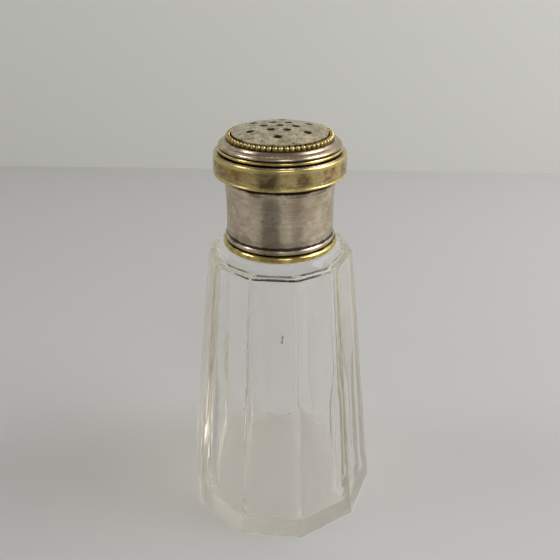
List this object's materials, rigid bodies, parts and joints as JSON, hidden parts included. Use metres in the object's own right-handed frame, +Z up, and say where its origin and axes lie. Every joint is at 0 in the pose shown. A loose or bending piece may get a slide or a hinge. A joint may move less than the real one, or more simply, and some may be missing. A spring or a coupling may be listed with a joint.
{
  "type": "sugar caster",
  "caption": "Tapered ten-sided cut-crystal bottle with a plated metal collar and a beaded, pierced screw cap, for sprinkling sugar, salt or spice.",
  "frame": {"origin": "middle of the flat underside of the glass, on the surface it stands on", "axes": "+Z up along the axis of the bottle and cap; -Y out of the middle of one facet"},
  "size_m": [0.0698, 0.0664, 0.1385],
  "materials": {
    "crystal": "polished cut crystal",
    "plaster": "dry set plaster",
    "worn_silver_plate": "worn silver plate, finely scratched, dark in the grooves",
    "worn_gilt_wire": "brass laid bare on the crests, dark between",
    "worn_gilt_band": "brass showing through patchy silver plate",
    "raw_brass": "dull unplated brass"
  },
  "bodies": {
    "bottle": {"glass_body": "crystal", "neck_plaster": "plaster", "collar_sleeve": "worn_silver_plate", "collar_foot_wire": "worn_gilt_wire", "collar_thread_ring": "raw_brass"},
    "cap_lift": {"cap_seat_ring": "worn_silver_plate"},
    "cap": {"cap_thread_liner": "raw_brass", "cap_band": "worn_gilt_band", "cap_shell": "worn_silver_plate", "cap_ridge_wire": "worn_gilt_wire", "cap_bead_wire": "worn_gilt_wire", "pierced_dome": "worn_silver_plate"}
  },
  "joints": [
    {"name": "cap_rise", "type": "slide", "parent": "bottle", "child": "cap_lift", "axis": [0, 0, 1], "range_m": [0, 0.0055]},
    {"name": "cap_turn", "type": "hinge", "parent": "cap_lift", "child": "cap", "pos_m": [0, 0, 0.125], "axis": [0, 0, 1], "range_deg": [0, 990]}
  ],
  "couplings": [
    {"joint": "cap_rise", "follows": "cap_turn", "m_per_rad": 0.0003183}
  ]
}
